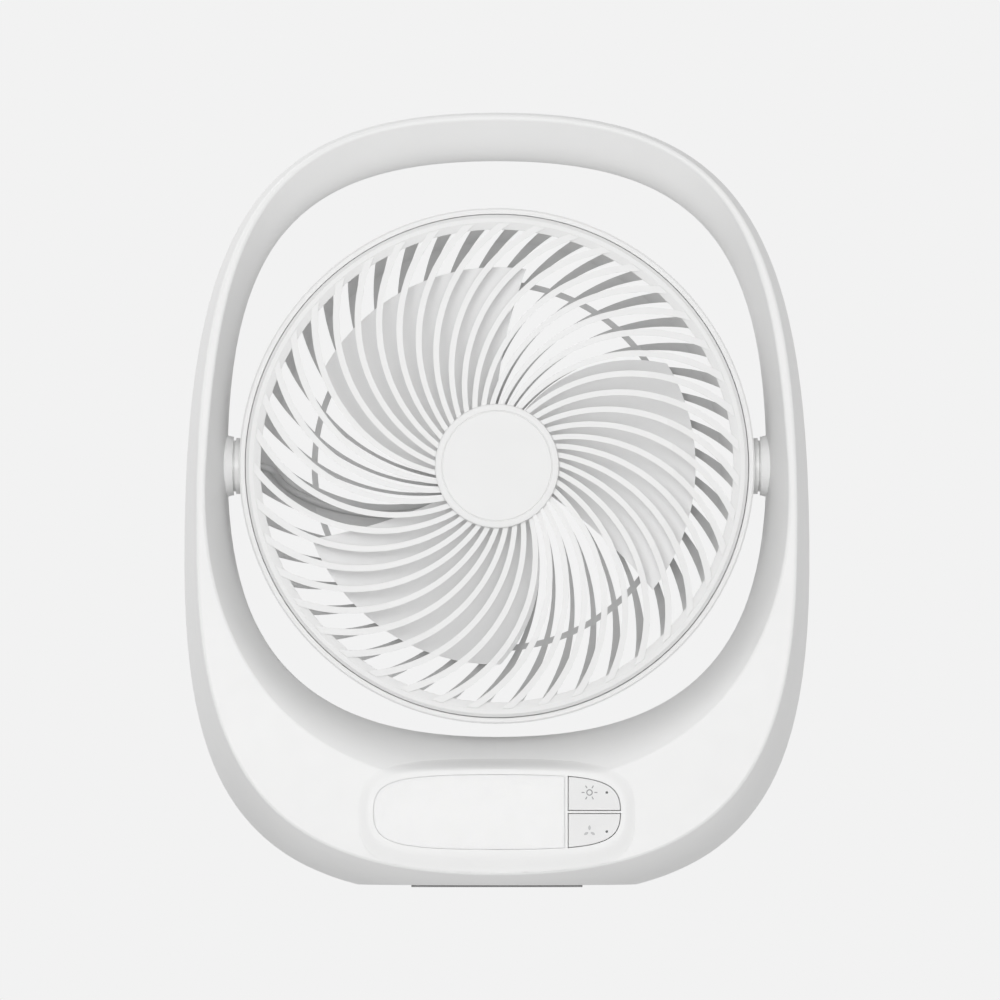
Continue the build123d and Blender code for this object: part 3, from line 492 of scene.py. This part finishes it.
def panel_outline(grow):
    """Front-view points all round the lamp panel, grown by a margin, as four cubic curves."""
    half_width = panel_half_width + grow
    half_height = panel_top - panel_middle + grow
    points = []
    for side, up, forward in ((1, 1, True), (-1, 1, False), (-1, -1, True), (1, -1, False)):
        for i in range(panel_quarter_steps):
            share = i / panel_quarter_steps if forward else 1 - i / panel_quarter_steps
            rest = 1 - share
            across = rest**3 + 3 * share * rest**2 + 3 * share**2 * rest * panel_fullness
            rise = 3 * share * rest**2 * panel_fullness + 3 * share**2 * rest + share**3
            points.append(Vector((side * half_width * across, panel_middle + up * half_height * rise)))
    return points


def surround_outer_edge(inner_edge):
    """Front-view points where the surround meets the face, further out towards the panel's bottom."""
    near_edge = panel_outline(bezel_width + surround_reach)
    low_edge = panel_outline(bezel_width + surround_low_reach)
    edge = []
    for inner, near, low in zip(inner_edge, near_edge, low_edge):
        lowness = max(0, (panel_middle - inner.y) / (panel_middle - panel_bottom))
        edge.append(near.lerp(low, lowness**2))
    return edge


def surround_loops():
    """Loops of points from just proud of the bezel's front to just under the face, and back beneath."""
    bezel_front = cad_low.y - surround_margin
    bezel_share = (bezel_round + bezel_clear) / (bezel_round + surround_reach)
    inner_edge = panel_outline(bezel_width - bezel_round)
    outer_edge = surround_outer_edge(inner_edge)
    loops = []
    for i in range(surround_rounds + 1):
        share = i / surround_rounds
        ease = share * share * (3 - 2 * share)
        loop = []
        for inner, outer in zip(inner_edge, outer_edge):
            place = inner.lerp(outer, share)
            on_face = inner.lerp(outer, max(share, bezel_share))
            drop = front_depth(on_face.x, on_face.y) + surround_margin - bezel_front
            loop.append((place.x, bezel_front + drop * ease, place.y))
        loops.append(loop)
    beneath = [[(x, y + surround_thickness, z) for x, y, z in loop] for loop in reversed(loops)]
    return loops + beneath


mesh = bmesh.new()
add_skin(mesh, surround_loops(), closed=True)
make_piece("panel_surround", mesh, "shell", "frame")

# Marks and dots on the buttons
button_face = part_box("light_button")[0].y
mark_front = button_face - 0.02 * MM
mark_back = button_face + 0.05 * MM
mark_offset = 6.44 * MM
mark_steps = 40
sun_inner = 0.80 * MM
sun_outer = 1.22 * MM
sun_rays = 6
sun_ray_inner = 1.85 * MM
sun_ray_outer = 2.95 * MM
sun_ray_half_width = 0.20 * MM
fan_petals = 3
petal_inner = 0.55 * MM
petal_outer = 2.3 * MM
petal_width = 1.0 * MM
petal_steps = 12
petal_blunt = 0.07
petal_power = 0.8
dot_radius = 0.50 * MM
dot_collar_radius = 0.80 * MM
dot_steps = 32


def dot_middle(button):
    """Middle of the light guide that ends in a button's dot."""
    corner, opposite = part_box(f"{button}_indicator")
    return (corner + opposite) / 2


def mark_middle(button):
    """Front-view middle of a button's mark, level with its dot."""
    dot = dot_middle(button)
    return Vector((dot.x - mark_offset, dot.z))


def add_print(mesh, outline):
    """Thin print on the buttons' face with a front-view outline."""
    add_solid(mesh, [[(point.x, y, point.y) for point in outline] for y in (mark_front, mark_back)])


def petal(middle, along, across):
    """Outline of one fan blade that lies along a direction, blunt at both ends."""
    edge = []
    for i in range(petal_steps + 1):
        share = i / petal_steps
        reach = petal_inner + (petal_outer - petal_inner) * share
        wave = math.sin(math.pi * (petal_blunt + (1 - 2 * petal_blunt) * share))
        edge.append((reach, petal_width / 2 * wave**petal_power))
    edge += [(reach, -half) for reach, half in reversed(edge)]
    return [middle + along * reach + across * half for reach, half in edge]


def directions(count, first):
    """Unit vectors along and across each of a number of even turns, the first at an angle in degrees."""
    for i in range(count):
        angle = math.radians(first + 360 / count * i)
        along = Vector((math.cos(angle), math.sin(angle)))
        yield along, Vector((-along.y, along.x))


sun = mark_middle("light")
mesh = bmesh.new()
sun_band = band(sun_inner, sun_outer, mark_front, mark_back)
add_skin(mesh, turned(sun_band, facing(sun.x, sun.y), mark_steps), closed=True)
for along, across in directions(sun_rays, first=0):
    start = sun + along * sun_ray_inner
    end = sun + along * sun_ray_outer
    side = across * sun_ray_half_width
    add_print(mesh, [start + side, start - side, end - side, end + side])
make_piece("sun_mark", mesh, "button", "light_button", mark_ink)

mesh = bmesh.new()
for along, across in directions(fan_petals, first=90):
    add_print(mesh, petal(mark_middle("fan"), along, across))
make_piece("fan_mark", mesh, "button", "fan_button", pale_ink)

for button in ("light", "fan"):
    body = f"{button}_button"
    middle = dot_middle(button)
    on_dot = facing(middle.x, middle.z)
    collar_band = band(dot_radius, dot_collar_radius, mark_front, mark_back)
    make_ring(f"{button}_dot_collar", collar_band, on_dot, "button", body, mark_steps)
    dot_ends = [(dot_radius, mark_front), (dot_radius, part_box(f"{button}_indicator")[1].y)]
    dot = make_disc(f"{button}_dot", dot_ends, on_dot, "indicator", body, dot_steps)
    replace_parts(dot, f"{button}_indicator")

# Stage: a floor that curves up into a wall all round and glows evenly, with no light or shadow on it
stage_glow = 0.888
floor_inner = 0.5
floor_radius = 11.0
wall_bend = 3.0
wall_bend_steps = 16
wall_top = 14.0


def stage_material():
    """Pale surface that only glows."""
    material, shader = new_material("pale_stage")
    shader.inputs["Base Color"].default_value = (0, 0, 0, 1)
    shader.inputs["Roughness"].default_value = 1.0
    shader.inputs["Specular IOR Level"].default_value = 0.0
    shader.inputs["Emission Color"].default_value = (1, 1, 1, 1)
    shader.inputs["Emission Strength"].default_value = stage_glow
    return material


def upright(across, up, along):
    """Place for turning about the upright axis."""
    return (across, up, along)


def make_stage():
    """Bowl that is open at the top, where the sky's light comes in."""
    profile = [(floor_inner, 0.0), (floor_radius, 0.0)]
    for i in range(1, wall_bend_steps + 1):
        angle = math.pi / 2 * i / wall_bend_steps
        profile.append((floor_radius + wall_bend * math.sin(angle), wall_bend - wall_bend * math.cos(angle)))
    profile.append((floor_radius + wall_bend, wall_top))
    mesh = bmesh.new()
    rings = add_skin(mesh, turned(profile, upright, round_steps), closed=False)
    mesh.faces.new(rings[0])
    stage = link_mesh("stage", mesh, stage_material())
    stage.visible_diffuse = False


make_stage()

# Light
light_size = 0.8
sky_strength = 0.55
fan_middle = (cad_low + cad_high) / 2


def area_light(name, place, power):
    """Round lamp at a place in metres, aimed at the middle of the fan."""
    data = bpy.data.lights.new(name, "AREA")
    data.shape = "DISK"
    data.size = light_size
    data.energy = power
    light = bpy.data.objects.new(name, data)
    scene.collection.objects.link(light)
    light.visible_camera = False
    light.location = place
    light.rotation_euler = (fan_middle - Vector(place)).to_track_quat("-Z", "Y").to_euler()


area_light("key", place=(-0.12, -2.2, 0.30), power=25)
area_light("side", place=(-1.1, 0.35, 1.2), power=8)
area_light("fill", place=(1.6, 0.3, 0.35), power=2.2)

world = bpy.data.worlds.new("studio")
world.use_nodes = True
sky = world.node_tree.nodes["Background"]
sky.inputs["Color"].default_value = (1, 1, 1, 1)
sky.inputs["Strength"].default_value = sky_strength
scene.world = world

# Camera: far off with a long lens, so that depth hardly changes the scale
view_width = 0.375
view_middle = Vector((1.15 * MM, 0.0, 144.75 * MM))
towards_camera = Vector((0, -1, 0))
camera_data = bpy.data.cameras.new("camera")
camera_data.sensor_width = 36
camera_data.lens = 1000
camera = bpy.data.objects.new("camera", camera_data)
scene.collection.objects.link(camera)
distance = view_width * camera_data.lens / camera_data.sensor_width
camera.location = view_middle + towards_camera * distance
camera.rotation_euler = (-towards_camera).to_track_quat("-Z", "Y").to_euler()
scene.camera = camera
